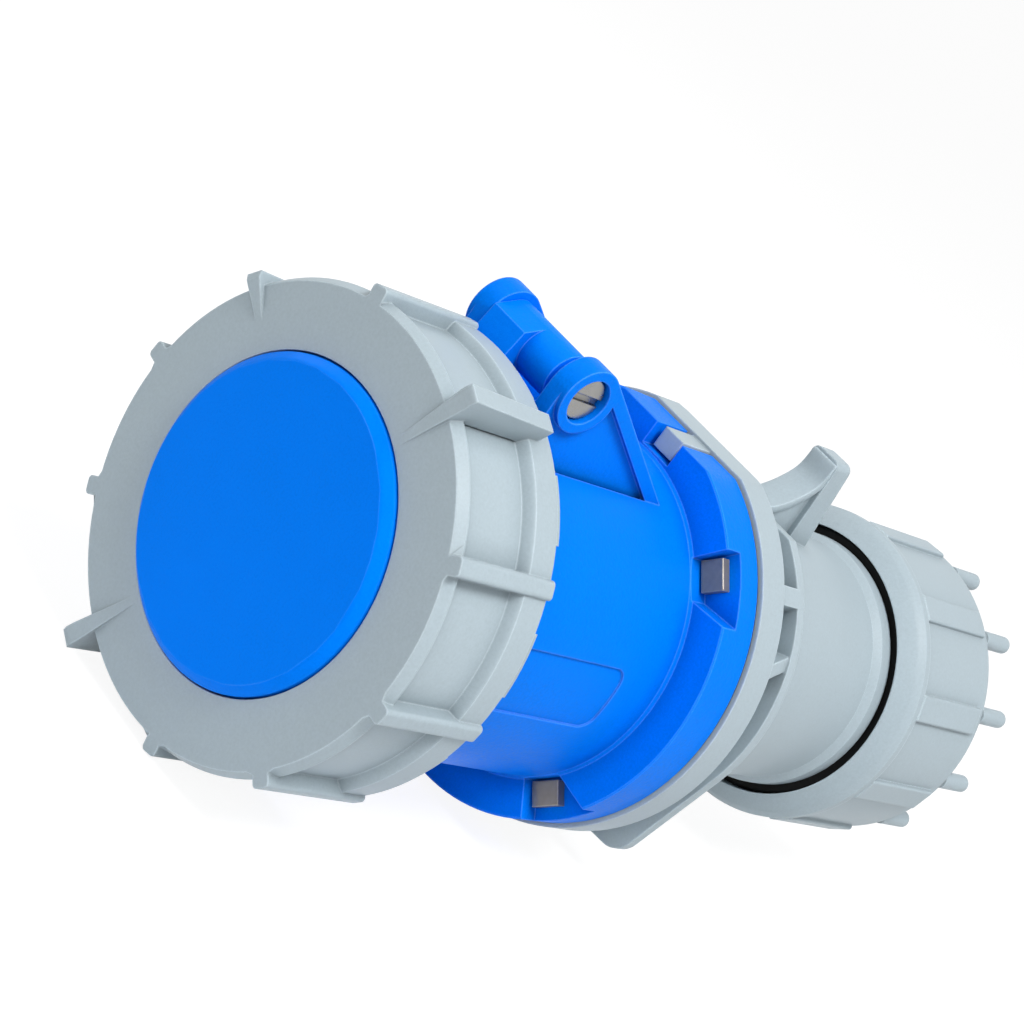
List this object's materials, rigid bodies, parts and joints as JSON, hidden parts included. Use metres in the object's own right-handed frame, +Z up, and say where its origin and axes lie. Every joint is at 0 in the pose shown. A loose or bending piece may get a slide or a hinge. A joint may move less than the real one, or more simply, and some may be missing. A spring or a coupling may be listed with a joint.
{
  "type": "pin and sleeve cable connector",
  "caption": "Round sleeve connector with a hinged cap under a ribbed locking ring, a split flanged housing and a gland nut for the cable.",
  "frame": {"origin": "on the connector's axis, in the plane of the sleeve's mouth", "axes": "X along the axis from the mouth to the cable end, Z up through the hinge, Y to the left seen from the cable end"},
  "size_m": [0.3, 0.1292, 0.1394],
  "materials": {
    "blue_plastic": "fine-grained blue moulding",
    "cap_plastic": "fine-grained blue moulding",
    "grey_plastic": "fine-grained light grey moulding",
    "carrier_plastic": "black moulding",
    "seal_rubber": "black rubber",
    "spring_steel": "plain spring steel",
    "pin_steel": "bright plated steel",
    "dark_nickel": "dark nickel plate",
    "insert_brass": "turned brass",
    "contact_brass": "turned brass"
  },
  "bodies": {
    "housing": {"front_housing": "blue_plastic", "hinge_pin": "pin_steel", "housing_bolts": "dark_nickel", "threaded_inserts": "insert_brass", "flange_gasket": "seal_rubber", "rear_housing": "grey_plastic", "nut_seal": "seal_rubber", "cable_grommet": "seal_rubber", "contact_face": "carrier_plastic", "contact_island": "carrier_plastic", "contact_carrier": "carrier_plastic", "carrier_back": "carrier_plastic", "carrier_screws": "pin_steel", "phase_socket": "contact_brass", "neutral_socket": "contact_brass", "earth_socket": "contact_brass", "pilot_socket": "contact_brass", "contact_springs": "spring_steel", "terminal_screws": "pin_steel"},
    "cap": {"cap_lid": "cap_plastic", "cap_gasket": "seal_rubber"},
    "ring": {"locking_ring": "grey_plastic", "ring_retainer": "spring_steel"},
    "gland": {"pressure_washer": "carrier_plastic", "clamp_cage": "carrier_plastic"},
    "nut": {"gland_nut": "grey_plastic"}
  },
  "joints": [
    {"name": "cap_hinge", "type": "hinge", "parent": "housing", "child": "cap", "pos_m": [0.039, 0, 0.066], "axis": [0, 1, 0], "range_deg": [0, 120]},
    {"name": "ring_turn", "type": "hinge", "parent": "cap", "child": "ring", "pos_m": [0, 0, 0], "axis": [1, 0, 0], "range_deg": [0, 30]},
    {"name": "gland_slide", "type": "slide", "parent": "housing", "child": "gland", "axis": [-1, 0, 0], "range_m": [0, 0.003]},
    {"name": "nut_turn", "type": "hinge", "parent": "gland", "child": "nut", "pos_m": [0.25, 0, 0], "axis": [-1, 0, 0], "range_deg": [0, 360]}
  ],
  "couplings": [
    {"joint": "gland_slide", "follows": "nut_turn", "m_per_rad": 0.000477}
  ]
}
